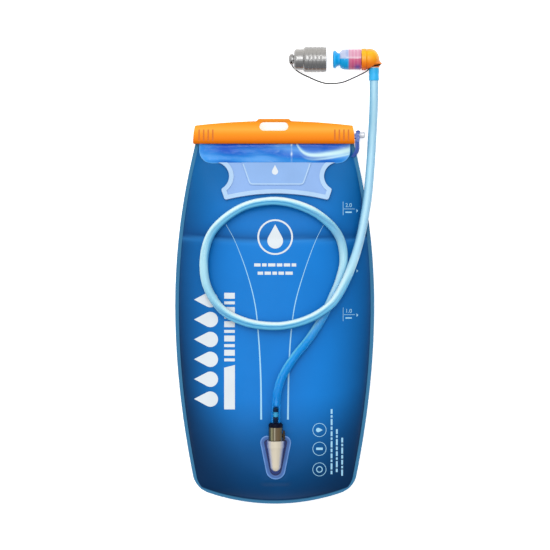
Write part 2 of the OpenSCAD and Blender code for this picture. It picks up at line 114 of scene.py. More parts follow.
def area_light(name, place, aim, size, power):
    data = bpy.data.lights.new(name, "AREA")
    data.shape = "RECTANGLE"
    data.size, data.size_y = size
    data.energy = power
    light = new_object(name, data)
    light.location = place
    light.rotation_mode = "QUATERNION"
    light.rotation_quaternion = (Vector(aim) - Vector(place)).to_track_quat("-Z", "Y")


LIGHT_FROM = Vector((-0.2, 0.42, 0.88)).normalized()
LIGHT_LEVEL = 1.52  # how brightly a level surface is lit; colours are given as they look under it


def make_world():
    """A large soft light overhead, a little towards the mouth, fading to a dim surround."""
    world = bpy.data.worlds.new("studio")
    world.use_nodes = True
    tree = world.node_tree
    background = tree.nodes["Background"]
    towards = add_node(tree, "VectorMath", Vector=add_node(tree, "TexCoord").outputs["Generated"])
    towards.operation = "DOT_PRODUCT"
    towards.inputs[1].default_value = LIGHT_FROM
    glow = add_node(tree, "MapRange", From_Min=0.2, From_Max=0.85, To_Min=0.54, To_Max=1.66)
    glow.interpolation_type = "SMOOTHSTEP"
    put(glow, Value=towards.outputs["Value"])
    put(background, Strength=glow.outputs["Result"], Color=(1.0, 1.0, 1.0, 1))
    bpy.context.scene.world = world


def make_stage():
    make_world()
    bpy.context.scene.view_settings.view_transform = "Standard"
    area_light("edge_strip", (-0.5, 1.5, 1.9), (0.0, 0.1, 0.0), (1.2, 0.12), 5)
    area_light("near_strip", (0.03, 0.86, 2.2), (0.03, 0.25, 0.0), (0.36, 1.08), 12)
    area_light("left_strip", (-0.34, -0.1, 2.2), (0.0, -0.1, 0.0), (0.06, 0.9), 5)
    half, drop = 3.0, 0.0006
    corners = [(-half, -half, 0), (half, -half, 0), (half, half, 0), (-half, half, 0)]
    floor = new_object("floor", new_mesh("floor", corners, [(0, 1, 2, 3)]))
    floor.data.materials.append(paper())
    floor.location.z = -drop


# ---- Materials ----

def rgb(red, green, blue):
    """A surface colour, from the display values 0 to 255 that it shows under the studio light."""
    return tuple(((c / 255 / 12.92) if c <= 10 else ((c / 255 + 0.055) / 1.055) ** 2.4) / LIGHT_LEVEL
                 for c in (red, green, blue))


BAR_LOW, BAR_HIGH = 183.6, 209.0
# Painted highlight and shade on the slide bar: redder and darker low down, a light band across its upper
# middle
BAR_PAINTED_LIGHT = [(0.0, rgb(234, 116, 8)), (0.22, rgb(244, 132, 10)), (0.42, rgb(249, 150, 22)),
             (0.62, rgb(252, 172, 56)), (0.82, rgb(247, 156, 36)), (1.0, rgb(236, 142, 26))]
ELBOW_LOW, ELBOW_HIGH = 264.0, 289.0
# Painted highlight and shade on the elbow: darker and redder low down, a yellow painted highlight towards
# its top
ELBOW_PAINTED_LIGHT = [(0.0, rgb(232, 92, 14)), (0.3, rgb(242, 128, 14)), (0.55, rgb(249, 166, 14)),
               (0.8, rgb(252, 188, 24)), (1.0, rgb(238, 150, 30))]
CAP_LOW, CAP_HIGH = 262.0, 291.0
# Painted shade and highlight on the dust cap: darker below its middle, a painted highlight band at its
# middle
CAP_PAINTED_LIGHT = [(0.0, rgb(112, 112, 112)), (0.2, rgb(92, 93, 95)), (0.44, rgb(98, 98, 98)),
             (0.5, rgb(142, 141, 140)), (0.57, rgb(124, 122, 120)), (0.8, rgb(148, 145, 140)),
             (1.0, rgb(120, 118, 115))]


def new_material(name):
    mat = bpy.data.materials.new(name)
    mat.use_nodes = True
    shader = mat.node_tree.nodes["Principled BSDF"]
    return mat, mat.node_tree, shader


def paper():
    """White sweep, lit a little from behind so that it stays plain round the object."""
    mat, _, shader = new_material("floor_paper")
    put(shader, Base_Color=(0.9, 0.9, 0.9, 1), Roughness=0.95, Emission_Color=(1, 1, 1, 1),
        Emission_Strength=0.42)
    return mat


def own_place(tree):
    """Where a point lies in the object's own metres."""
    return add_node(tree, "TexCoord").outputs["Object"]


def noise_node(tree, scale, detail, stretch=(1, 1, 1)):
    """Noise over the object, stretched along an axis where wanted."""
    mapping = add_node(tree, "Mapping", Vector=own_place(tree), Scale=stretch)
    texture = add_node(tree, "TexNoise", Vector=mapping.outputs["Vector"], Scale=scale, Detail=detail)
    return texture.outputs["Fac"]


def ramp(tree, value, stops):
    node = add_node(tree, "ValToRGB", Fac=value)
    points = node.color_ramp.elements
    while len(points) < len(stops):
        points.new(0.5)
    for point, (place, colour) in zip(points, stops):
        point.position = place
        point.color = (*colour, 1)
    return node.outputs["Color"]


def level(tree, value, low, high):
    """Maps 0..1 to low..high."""
    return add_node(tree, "MapRange", Value=value, To_Min=low, To_Max=high).outputs["Result"]


def tone_node(tree):
    """The colour and cover that a mesh keeps in its own 'tone' layer."""
    node = add_node(tree, "Attribute")
    node.attribute_name = "tone"
    return node


def add_bump(tree, shader, height, strength, depth):
    node = add_node(tree, "Bump", Height=height, Strength=strength, Distance=depth)
    put(shader, Normal=node.outputs["Normal"])


def moulded(name, colour, rough=0.3, coat=0.0, grain=900.0, bump=0.05, tint=0.06, alpha=1.0, gloss=0.5):
    """Moulded plastic, rubber or film: slight colour drift, uneven gloss and a fine surface grain."""
    mat, tree, shader = new_material(name)
    broad = noise_node(tree, 45.0, 2.0)
    fine = noise_node(tree, grain, 3.0)
    dark = tuple(max(0, c * (1 - tint)) for c in colour)
    light = tuple(min(1, c * (1 + tint)) for c in colour)
    put(shader, Base_Color=ramp(tree, broad, [(0.3, dark), (0.7, light)]),
        Roughness=level(tree, fine, rough * 0.8, rough * 1.25))
    put(shader, Coat_Weight=coat, Coat_Roughness=0.08, Specular_IOR_Level=gloss, Alpha=alpha)
    add_bump(tree, shader, fine, bump, 0.0004)
    return mat


def milky(name, colour, rough):
    return moulded(name, colour, rough, 0.0, 600.0, 0.05, 0.03, gloss=0.2)


def silicone(name, colour):
    return moulded(name, colour, 0.3, 0.1, 900.0, 0.06, 0.1, gloss=0.25)


def attribute_film(name, rough, coat, grain, bump, stretch=(1, 1, 1), alpha=1.0, gloss=0.5):
    """Film whose colour comes from the mesh's own 'tone' layer, with noise over it."""
    mat, tree, shader = new_material(name)
    fine = noise_node(tree, grain, 3.0, stretch)
    drift = noise_node(tree, 22.0, 3.0)
    mix = add_node(tree, "Mix")
    mix.data_type = "RGBA"
    mix.blend_type = "MULTIPLY"
    put(mix, Factor=1.0, A=tone_node(tree).outputs["Color"],
        B=ramp(tree, drift, [(0.3, (0.93,) * 3), (0.7, (1.0,) * 3)]))
    put(shader, Base_Color=mix.outputs["Result"], Roughness=level(tree, fine, rough * 0.8, rough * 1.2))
    put(shader, Coat_Weight=coat, Coat_Roughness=0.12, Specular_IOR_Level=gloss, Alpha=alpha)
    add_bump(tree, shader, fine, bump, 0.0005)
    return mat


def make_materials():
    return {
        "film": attribute_film("bag_film", 0.4, 0.0, 260.0, 0.05, gloss=0.07),
        "mouth_film": attribute_film("clear_mouth_film", 0.2, 0.0, 90.0, 0.15, (0.35, 1, 1), 0.97, 0.12),
        "rail": moulded("rail_plastic", rgb(60, 100, 190), 0.25, 0.4),
        "knob": moulded("clear_knob", rgb(225, 230, 238), 0.16, 0.8, alpha=0.85),
        "fold": moulded("folded_film", rgb(38, 80, 175), 0.14, 0.6, 160.0, 0.3),
        "bar": banded("orange_bar", BAR_LOW, BAR_HIGH, BAR_PAINTED_LIGHT, 0.33, 0.06),
        # Painted shade in the slide bar's groove floors: a darker orange
        "bar_groove": moulded("orange_bar_groove_shade", rgb(218, 116, 22), 0.45, 0.0, 700.0, 0.06, gloss=0.2),
        "plate": milky("milky_plate", rgb(138, 175, 229), 0.4),
        "plate_mid": milky("milky_plate_middle", rgb(136, 175, 228), 0.38),
        "plate_rim": milky("milky_plate_rim", rgb(172, 204, 236), 0.36),
        "flange": attribute_film("lavender_flange", 0.3, 0.0, 600.0, 0.06, gloss=0.25),
        "socket": attribute_film("cream_socket", 0.3, 0.1, 500.0, 0.04, gloss=0.25),
        "olive": attribute_film("smoky_olive", 0.14, 0.0, 300.0, 0.01, gloss=0.2),
        "button": moulded("dark_button", rgb(46, 36, 18), 0.4, 0.0, gloss=0.15),
        "black": moulded("black_plastic", rgb(2, 5, 30), 0.3, 0.0, gloss=0.06),
        "barb_neck": moulded("barb_neck", rgb(48, 158, 206), 0.3, 0.1, gloss=0.2),
        "rubber": moulded("black_rubber", rgb(26, 25, 25), 0.6, 0.0, 1200.0, 0.15),
        "white": moulded("inner_white", rgb(225, 228, 232), 0.3, 0.2),
        "steel": steel(),
        "tube": tone_wall("clear_tube", 0.16),
        "bore": attribute_film("tube_bore", 0.25, 0.1, 220.0, 0.03, gloss=0.2),
        "collar": moulded("blue_collar", rgb(38, 176, 236), 0.35, 0.1, 500.0, 0.08, 0.12, gloss=0.25),
        "elbow": banded("orange_elbow", ELBOW_LOW, ELBOW_HIGH, ELBOW_PAINTED_LIGHT, 0.25, 0.2),
        "pink": moulded("pink_sleeve", rgb(222, 92, 134), 0.3, 0.1, gloss=0.3),
        "housing": tone_wall("clear_housing", 0.12),
        "bite": silicone("bite_silicone", rgb(10, 174, 248)),
        # A lighter copy of the bite silicone, used as a painted highlight on the plug's upper side
        "bite_lit": silicone("bite_silicone_lit", rgb(184, 204, 240)),
        "cap": banded("grey_cap", CAP_LOW, CAP_HIGH, CAP_PAINTED_LIGHT, 0.19, 1.0, 0.0),
        "cord": braided_cord(),
        "ink": moulded("white_ink", rgb(222, 230, 236), 0.5, 0.0, 900.0, 0.03, 0.02, gloss=0.1),
        "ink_pale": moulded("pale_blue_ink", rgb(164, 218, 248), 0.5, 0.0, 900.0, 0.03, 0.04, gloss=0.1),
    }


def banded(name, low, high, bands, rough, gloss, bump=0.05):
    """Glossy plastic whose colour changes along Y between two places in millimetres, in bands of painted
    highlight and shade.
    """
    mat, tree, shader = new_material(name)
    split = add_node(tree, "SeparateXYZ", Vector=own_place(tree))
    along = add_node(tree, "MapRange", Value=split.outputs["Y"], From_Min=low * MM, From_Max=high * MM)
    fine = noise_node(tree, 700.0, 3.0)
    put(shader, Base_Color=ramp(tree, along.outputs["Result"], bands),
        Roughness=level(tree, fine, rough * 0.8, rough * 1.2), Specular_IOR_Level=gloss)
    add_bump(tree, shader, fine, bump, 0.0004)
    return mat


def tone_wall(name, rough):
    """Clear wall: what shows in it, and how densely, comes from the mesh's 'tone' layer."""
    mat, tree, shader = new_material(name)
    tone = tone_node(tree)
    fine = noise_node(tree, 160.0, 3.0)
    put(shader, Base_Color=tone.outputs["Color"], Alpha=tone.outputs["Alpha"],
        Roughness=level(tree, fine, rough * 0.8, rough * 1.2), Specular_IOR_Level=0.16)
    return mat


def steel():
    mat, tree, shader = new_material("spring_steel")
    fine = noise_node(tree, 800.0, 3.0, (1, 6, 1))
    put(shader, Metallic=1.0, Roughness=level(tree, fine, 0.2, 0.38),
        Base_Color=ramp(tree, fine, [(0.2, (0.5, 0.5, 0.52)), (0.8, (0.72, 0.72, 0.75))]))
    return mat


def braided_cord():
    """Matt black cord with a fine twist."""
    mat, tree, shader = new_material("tether_braid")
    wave = add_node(tree, "TexWave", Vector=own_place(tree), Scale=420.0, Distortion=0.6)
    wave.bands_direction = "DIAGONAL"
    put(shader, Base_Color=ramp(tree, wave.outputs["Fac"], [(0.2, (0.001,) * 3), (0.9, (0.008,) * 3)]),
        Roughness=0.6, Specular_IOR_Level=0.03)
    add_bump(tree, shader, wave.outputs["Fac"], 0.5, 0.0002)
    return mat


# ---- Helpers for pieces ----

def coloured(mesh, material):
    mesh.materials.clear()
    mesh.materials.append(material)


def add_object(name, mesh, material, body):
    coloured(mesh, material)
    obj = new_object(name, mesh)
    if body:
        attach(obj, body)
    return obj


def smooth(mesh, degrees=40):
    mesh.polygons.foreach_set("use_smooth", [True] * len(mesh.polygons))
    mesh.set_sharp_from_angle(angle=math.radians(degrees))


def applied(obj):
    """The object's mesh with its modifiers made real."""
    graph = bpy.context.evaluated_depsgraph_get()
    mesh = bpy.data.meshes.new_from_object(obj.evaluated_get(graph))
    obj.modifiers.clear()
    obj.data = mesh
    return mesh


def thickened(obj, thickness, offset, degrees):
    """Makes a film solid, inwards (offset -1) or to both sides (0)."""
    thick = obj.modifiers.new("film", "SOLIDIFY")
    thick.thickness = thickness * MM
    thick.offset = offset
    smooth(applied(obj), degrees)


def softened(node, name, material, body, width):
    """A copy of a hard CAD node with its sharp edges rounded off, standing for that node."""
    bm = bmesh.new()
    bm.from_mesh(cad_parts[node].data)
    bmesh.ops.remove_doubles(bm, verts=bm.verts, dist=1e-6)
    bmesh.ops.dissolve_limit(bm, angle_limit=math.radians(1.0), verts=bm.verts, edges=bm.edges)
    obj = add_object(name, mesh_from(bm, name), material, body)
    bevel = obj.modifiers.new("round_edges", "BEVEL")
    bevel.width = width * MM
    bevel.segments = 3
    bevel.limit_method = "ANGLE"
    bevel.angle_limit = math.radians(32)
    bevel.use_clamp_overlap = True
    bevel.miter_outer = "MITER_ARC"
    smooth(applied(obj), 45)
    obj.modifiers.new("flat_faces", "WEIGHTED_NORMAL").keep_sharp = True
    applied(obj)
    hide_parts(node)
    return obj


def paint(mesh, tones):
    """Gives each point of the mesh its colour, and how much it covers where that is told too."""
    layer = mesh.color_attributes.new("tone", "FLOAT_COLOR", "POINT")
    for spot, tone in zip(layer.data, tones):
        spot.color = tone if len(tone) == 4 else (*tone, 1)


def grid_mesh(name, rows, tones=None):
    """A sheet through rows of points in millimetres; tones gives each point its colour."""
    cols = len(rows[0])
    verts = [Vector(p) * MM for row in rows for p in row]
    faces = []
    for i in range(len(rows) - 1):
        for j in range(cols - 1):
            a = i * cols + j
            faces.append((a, a + 1, a + cols + 1, a + cols))
    mesh = new_mesh(name, verts, faces)
    if tones:
        paint(mesh, (tone for row in tones for tone in row))
    mesh.update()
    return mesh


def clamp(t):
    return min(1, max(0, t))


def mix3(a, b, t):
    t = clamp(t)
    return tuple(x + (y - x) * t for x, y in zip(a, b))


def bell(x, width):
    return math.exp(-(x / width) ** 2)


# ---- Cords ----

CORD_STEPS = 8  # points of the smooth path for each point of a route
TUBE_D, TUBE_SIDES = 9.6, 48
TUBE_ROUTE = [
    (1, -121.5, 46.9), (1.5, -105, 48.5), (3, -88, 48), (9, -70, 45.6), (21, -51, 43.4),
    (37, -31, 41.6), (47, -16, 40.4), (55.5, -1, 39), (64, 17, 37.2), (71, 34, 34.8), (75.5, 54, 33.2),
    (73, 75, 34.4), (66.5, 88, 36), (56, 99, 38.4), (43, 108.5, 38.9), (27, 115.5, 37.4),
    (9, 119.8, 36), (-9, 120, 36), (-33, 114.5, 37.6), (-56, 100, 38.8), (-71, 82, 34.8),
    (-77.5, 55, 33), (-74, 27, 34.8), (-57, 1, 39), (-30, -12.5, 42.6), (0, -16.5, 44),
    (18, -14.5, 45.4), (36, -9, 47.4), (51, -1, 48.8), (64, 10, 48.4), (77, 32, 44), (86, 54, 36.6),
    (93.5, 79, 27), (101.5, 121, 16.8), (103.8, 142, 11.6), (106, 170, 5.6), (107.4, 195, 5.5),
    (108.6, 220, 11), (109, 238, 14), (109, 253, 14),
]
TETHER_D = 1.3
TETHER_ROUTE = [
    (104, 268.1, 19.1), (102.2, 264.5, 18.7), (99, 262.2, 15.8), (94.5, 260, 11), (89, 257.6, 6),
    (82, 254.6, 1.8), (75, 252, 0.9), (66, 250.6, 0.8), (56, 250.8, 0.8), (47, 253.4, 0.9),
    (38, 257.3, 1.6), (30, 261, 3.2), (24, 264.8, 5), (20.6, 268, 5.3), (19, 270.4, 5.1),
    (18.4, 272.4, 5.8), (18.3, 273.3, 7.8), (18.3, 273.4, 10.5),
]


def smooth_path(points, steps):
    """Points on a smooth curve through the given ones (centripetal Catmull-Rom)."""
    pts = [Vector(p) for p in points]
    pts = [2 * pts[0] - pts[1]] + pts + [2 * pts[-1] - pts[-2]]
    out = []
    for a, b, c, d in zip(pts, pts[1:], pts[2:], pts[3:]):
        t1 = (b - a).length ** 0.5
        t2 = t1 + (c - b).length ** 0.5
        t3 = t2 + (d - c).length ** 0.5
        for k in range(steps):
            t = t1 + (t2 - t1) * k / steps
            p = a.lerp(b, t / t1)
            q = b.lerp(c, (t - t1) / (t2 - t1))
            r = c.lerp(d, (t - t2) / (t3 - t2))
            s = p.lerp(q, t / t2)
            u = q.lerp(r, (t - t1) / (t3 - t1))
            out.append(s.lerp(u, (t - t1) / (t2 - t1)))
    out.append(pts[-2])
    return out


def heading(path, i):
    """The direction of a path at its point i."""
    return (path[min(i + 1, len(path) - 1)] - path[max(i - 1, 0)]).normalized()


def swept_mesh(name, path, radius, sides):
    """Closed round tube along a path in millimetres."""
    verts, faces = [], []
    for i, p in enumerate(path):
        along = heading(path, i)
        flat = Vector((0, 0, 1)).cross(along).normalized()
        up = along.cross(flat)
        for k in range(sides):
            a = 2 * math.pi * k / sides
            verts.append((p + radius * (math.cos(a) * flat + math.sin(a) * up)) * MM)
    for i in range(len(path) - 1):
        for k in range(sides):
            a, b = i * sides + k, i * sides + (k + 1) % sides
            faces.append((a, b, b + sides, a + sides))
    faces.append(tuple(range(sides - 1, -1, -1)))
    faces.append(tuple((len(path) - 1) * sides + k for k in range(sides)))
    mesh = new_mesh(name, verts, faces)
    smooth(mesh, 60)
    return mesh


BORE_R, BORE_SIDES = 3.2, 20
BARB_L, STEM_L = 17.5, 14.0
# Colours round the wall, from its shaded side (-1) over its crown (0) to its lit side (1): painted shade
# and painted highlights
PALE_WALL = [(-0.6, rgb(84, 170, 226)), (-0.4, rgb(110, 190, 240)), (-0.25, rgb(172, 234, 255)),
             (0.0, rgb(184, 234, 250)), (0.25, rgb(184, 234, 250)), (0.5, rgb(196, 242, 254))]
LOOP_WALL = [(-1.0, rgb(40, 140, 206)), (-0.82, rgb(48, 150, 214)), (-0.6, rgb(118, 214, 255)),
             (-0.34, rgb(116, 210, 255)), (-0.1, rgb(40, 140, 204)), (0.12, rgb(110, 196, 232)),
             (0.36, rgb(208, 248, 254)), (0.6, rgb(246, 255, 255)), (0.85, rgb(204, 242, 254)),
             (1.0, rgb(110, 190, 232))]
RIGHT_WALL = [(-1.0, rgb(104, 174, 216)), (-0.7, rgb(128, 196, 234)), (-0.3, rgb(176, 226, 249)),
              (0.1, rgb(190, 236, 255)), (0.5, rgb(170, 222, 252)), (0.85, rgb(142, 196, 228)),
              (1.0, rgb(116, 178, 216))]
BLUE_WALL = [(-1.0, rgb(16, 138, 220)), (-0.6, rgb(14, 156, 246)), (0.0, rgb(6, 162, 252)),
             (0.45, rgb(30, 172, 250)), (0.75, rgb(120, 220, 254)), (1.0, rgb(60, 170, 238))]


def between(stops, t):
    """The colour at t in a list of (place, colour)."""
    for (a, first), (b, second) in zip(stops, stops[1:]):
        if t <= b:
            return mix3(first, second, (t - a) / (b - a))
    return stops[-1][1]


def runs_along(path):
    """How far each point of a path is from its start."""
    run = [0.0]
    for a, b in zip(path, path[1:]):
        run.append(run[-1] + (b - a).length)
    return run


def paint_tube(mesh, path, run):
    """Tones of the wall: blue and clearer over the water near the outlet, pale further up, with painted
    shade on its side away from the light and painted highlights on its side towards it.
    """
    tones = []
    for i, (p, s) in enumerate(zip(path, run)):
        pale = clamp((s - 95) / 95)
        right = clamp((p.x - 78) / 14)
        lit_loop = Vector((-0.4, 0.9, 0)).lerp(Vector((0.9, 0.4, 0)), right)
        lit = Vector((-0.9, 0.4, 0)).lerp(lit_loop, pale).normalized()
        level_run = abs(heading(path, i).x)
        for k in range(TUBE_SIDES):
            out = (mesh.vertices[i * TUBE_SIDES + k].co / MM - p).normalized()
            side = out.dot(lit) + 0.06 * noise.noise(Vector((s / 9, k / 5, 0)))
            side = min(1, max(-1, side))
            loop = mix3(between(PALE_WALL, side), between(LOOP_WALL, side), level_run)
            upper = mix3(loop, between(RIGHT_WALL, side), right)
            near = mix3(rgb(8, 146, 240), between(BLUE_WALL, side), (s - 30) / 40)
            tone = mix3(near, upper, pale)
            past_barb = clamp((s - 16) / 12)
            edge = clamp((abs(side) - 0.5) / 0.2)
            cover = min(1, 0.03 + 0.57 * past_barb + 0.5 * edge * (1 - past_barb) + 0.4 * abs(side) ** 3)
            tones.append((*tone, cover + (0.88 - cover) * pale))
    paint(mesh, tones)


def make_tube(mats):
    path = smooth_path(TUBE_ROUTE, CORD_STEPS)
    run = runs_along(path)
    mesh = swept_mesh("drinking_tube", path, TUBE_D / 2, TUBE_SIDES)
    paint_tube(mesh, path, run)
    tube = add_object("drinking_tube", mesh, mats["tube"], "hose")
    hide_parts("drink_tube")
    make_bore(path, run, mats)
    return tube


def make_bore(path, run, mats):
    """The bore seen through the clear wall: blue with water near the outlet, paler further up."""
    kept = [(p, s) for p, s in zip(path, run) if BARB_L < s < run[-1] - STEM_L]
    mesh = swept_mesh("tube_bore", [p for p, s in kept], BORE_R, BORE_SIDES)
    tones = []
    for p, s in kept:
        tones += [mix3(rgb(8, 156, 246), rgb(150, 218, 248), (s - 100) / 100)] * BORE_SIDES
    paint(mesh, tones)
    add_object("tube_bore", mesh, mats["bore"], "hose")


def make_knot(place, mats):
    """The cord's knotted end, seated in the slot of the cap's nose."""
    bm = bmesh.new()
    turn = Matrix.Rotation(math.radians(-12), 4, "Z")
    shape = Matrix.Translation(place * MM) @ turn @ Matrix.Diagonal((1.9, 0.9, 3.0, 1))
    bmesh.ops.create_uvsphere(bm, u_segments=16, v_segments=10, radius=MM, matrix=shape)
    mesh = mesh_from(bm, "tether_knot")
    smooth(mesh, 60)
    add_object("tether_knot", mesh, mats["cord"], "cap")


def make_tether(mats):
    path = smooth_path(TETHER_ROUTE, CORD_STEPS)
    tether = add_object("tether", swept_mesh("tether", path, TETHER_D / 2, 12), mats["cord"], None)
    make_knot(path[-1] + Vector((0, 0, 4.5)), mats)
    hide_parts("tether_cord")
    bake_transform(tether)
    return tether


# ---- Water bag ----

SEAM, WELD, FILM = 10.0, 4.0, 0.8
TOP_Y, BOTTOM_Y, NECK_Y = 184.0, -212.0, 163.0
BAG_L = TOP_Y - BOTTOM_Y
HALF_W, UPPER_R, LOWER_R, FOOT_R, CORNER_R, CORNER_X = 109.5, 770.0, 880.0, 225.0, 12.0, 80.0
RISE, END_RISE, BACK_RISE = 27.0, 95.0, 16.0
MOUTH_HALF = 2.4
PLATE_SLOPE, BACK_SLOPE, PORT_SLOPE = math.tan(math.radians(20)), 0.3, math.tan(math.radians(6))
PAD_Y, PAD_H = -160.0, 22.8
CREASE_Y = 81.0


def foot_arc(x):
    return BOTTOM_Y + FOOT_R - math.sqrt(FOOT_R ** 2 - x * x)


def side_width(y):
    r = UPPER_R if y > 0 else LOWER_R
    return HALF_W - r + math.sqrt(r * r - y * y)


def row_width(d):
    low = foot_arc(CORNER_X)
    rise = d * (TOP_Y - low) / BAG_L
    k = CORNER_R - min(rise, CORNER_R)
    return side_width(low + rise) - CORNER_R + math.sqrt(CORNER_R ** 2 - k * k)


def fullness(d, q):
    t = clamp((d - WELD) / END_RISE)
    return (1 - (1 - t) ** 3) ** 0.7 * max(0, 1 - abs(q) ** 2.4) ** 0.75


def soft_min(a, b, k):
    h = max(k - abs(a - b), 0) / k
    return min(a, b) - h * h * k / 4


def front_height(d, q, y):
    h = soft_min(RISE * fullness(d, q), MOUTH_HALF + PLATE_SLOPE * max(0, NECK_Y - y), 9.0)
    return max(0, soft_min(h, PAD_H + PORT_SLOPE * (y - PAD_Y), 1.5))


def back_height(d, q, y):
    h = min(BACK_RISE * fullness(d, q), MOUTH_HALF + BACK_SLOPE * max(0, NECK_Y - y))
    return max(0, min(soft_min(h, SEAM - FILM + 1.0, 4.0), SEAM - FILM))


def crease_line(x):
    """The fold across the front, a little higher in its middle."""
    return CREASE_Y - 3.5 * (1 - (x / 100) ** 2) + 0.8 * math.sin(x / 17)


def front_relief(x, y, d, q):
    """Small shapes of the filled film: the fold, puckers along the welds and a slow unevenness."""
    inner = clamp((1 - abs(q)) * 10)
    c = y - crease_line(x)
    fold = -1.3 * (math.exp(-c / 9) if c > 0 else math.exp(c / 1.6)) * inner
    edge = (1 - abs(q)) * 100
    pucker = 0.35 * bell(edge - 7, 6) * noise.noise(Vector((q * 0.5, y / 7.5, 3.1)))
    slow = -0.45 + 0.45 * noise.noise(Vector((x / 48, y / 60, 0.7)))
    foot = 0.4 * bell(d - 16, 9) * noise.noise(Vector((x / 8, 1.7, d / 40)))
    return fold + pucker + slow * inner + foot


def pad_mask(x, y):
    """1 under the outlet flange, which widens up its length, falling to 0 round it."""
    low, high, rim = -186.0, -134.0, 6.0
    half = 12 + 5.5 * clamp((y + 185) / 46)
    over = math.hypot(max(0, abs(x - PORT_X) - half), max(0, y - high, low - y))
    return clamp(1 - over / rim)


# The film's blue, and darker blues painted as shade at its sides, its foot and its top
BLUE_MID = rgb(16, 126, 214)
BLUE_TOP_SHADE = rgb(10, 100, 166)
BLUE_SIDE_SHADE = rgb(4, 50, 92)
BLUE_FOOT_SHADE = rgb(3, 43, 82)
RIM_TONE = rgb(58, 124, 166)


# Front film colour: painted shade towards its sides, along its welds, over its foot and towards its top, a
# band of painted shade above the crease and a painted highlight just below it
def front_tone(x, y, d, q, weld):
    if weld:
        return RIM_TONE
    side = max(0, abs(q - 0.04) - 0.4) / 0.6
    upper = clamp((y + 60) / 120)
    tone = mix3(BLUE_MID, BLUE_SIDE_SHADE, side ** 1.6 * (0.92 - 0.22 * upper))
    edge = (1 - abs(q)) * 100
    tone = mix3(tone, BLUE_FOOT_SHADE, 0.42 * math.exp(-edge / 5) * (1 - 0.65 * upper))
    foot = max(0, (118 - d) / 118)
    tone = mix3(tone, BLUE_FOOT_SHADE, 1 - math.exp(-2.2 * foot ** 1.4 * (0.9 + 0.6 * abs(q - 0.04))))
    top = clamp((y - 90) / 60)
    tone = mix3(tone, BLUE_TOP_SHADE, top * 0.8)
    # Painted shade above the crease, painted highlight just below it
    c = y - crease_line(x)
    above = clamp((c + 2) / 4)
    tone = mix3(tone, rgb(8, 58, 116), 0.85 * above * math.exp(-max(0, c) / 9))
    return mix3(tone, rgb(60, 150, 224), 0.5 * (1 - above) * math.exp(min(0, c + 1) / 2))


def film_rows(side, n_rows, n_cols):
    """Rows of points over a panel's outside, with their colours."""
    places = [0, 1.3, 2.7, WELD]
    places += [WELD + (BAG_L - WELD) * (i / n_rows) ** 1.25 for i in range(1, n_rows + 1)]
    rows, tones = [], []
    for d in places:
        w = row_width(d)
        spots = [(-w, -1, True), (-w + WELD / 2, -1, True)]
        for j in range(n_cols + 1):
            q = math.sin(math.pi / 2 * (2 * j / n_cols - 1))
            spots.append((q * (w - WELD), q, d < WELD or abs(q) > 0.9999))
        spots += [(w - WELD / 2, 1, True), (w, 1, True)]
        row, tone = [], []
        for x, q, weld in spots:
            y = foot_arc(x) + d / BAG_L * (TOP_Y - foot_arc(x))
            if side > 0:
                h = front_height(d, q, y)
                if not weld:
                    h = max(0, h + front_relief(x, y, d, q) * min(1, h / 6))
                    pad = PAD_H + PORT_SLOPE * (y - PAD_Y) - 0.03
                    h += (pad - h) * pad_mask(x, y)
                tone.append(front_tone(x, y, d, q, weld))
            else:
                h = back_height(d, q, y)
                # Back film: darker towards its sides as painted shade
                tone.append(RIM_TONE if weld else mix3(BLUE_MID, BLUE_SIDE_SHADE, 0.35 + 0.5 * abs(q)))
            row.append((x, y, SEAM + side * (h + FILM)))
        rows.append(row)
        tones.append(tone)
    return rows, tones


def make_panel(side, name, node, mats):
    n_rows, n_cols = (150, 96) if side > 0 else (70, 48)
    rows, tones = film_rows(side, n_rows, n_cols)
    mesh = grid_mesh(name, rows, tones)
    if side < 0:
        mesh.flip_normals()
    smooth(mesh, 60)
    obj = add_object(name, mesh, mats["film"], "reservoir")
    thickened(obj, 0.55, -1, 60)
    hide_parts(node)
    return obj


def surface_of(obj):
    bm = bmesh.new()
    bm.from_mesh(obj.data)
    tree = BVHTree.FromBMesh(bm)
    bm.free()
    return tree


def drop_on(tree, x, y, lift):
    """Height in millimetres just above the surface under (x, y)."""
    hit = tree.ray_cast(Vector((x * MM, y * MM, 0.2)), Vector((0, 0, -1)))[0]
    return (hit.z / MM if hit else SEAM) + lift


# ---- Prints on the front film ----

INK_LIFT, INK_EDGE = 0.12, 3.0  # height over the surface, longest edge that still follows it


def ribbon(points, width, step=2.5, end_width=None):
    """A flat line of that width through points, as polygons cut short enough to follow the film."""
    path = []
    for a, b in zip(points, points[1:]):
        a, b = Vector((*a, 0)), Vector((*b, 0))
        n = max(1, int((b - a).length / step))
        path += [a.lerp(b, k / n) for k in range(n)]
    path.append(Vector((*points[-1], 0)))
    edge = []
    for i, p in enumerate(path):
        along = heading(path, i)
        w = width + ((end_width or width) - width) * i / (len(path) - 1)
        across = Vector((-along.y, along.x, 0)) * w / 2
        edge.append(((p + across).to_2d(), (p - across).to_2d()))
    return [[b, d, c, a] for (a, b), (c, d) in zip(edge, edge[1:])]


def ring(x, y, r_out, r_in, n):
    polys = []
    for k in range(n):
        a, b = 2 * math.pi * k / n, 2 * math.pi * (k + 1) / n
        polys.append([Vector((x + r * math.cos(t), y + r * math.sin(t)))
                      for r, t in ((r_in, a), (r_out, a), (r_out, b), (r_in, b))])
    return polys


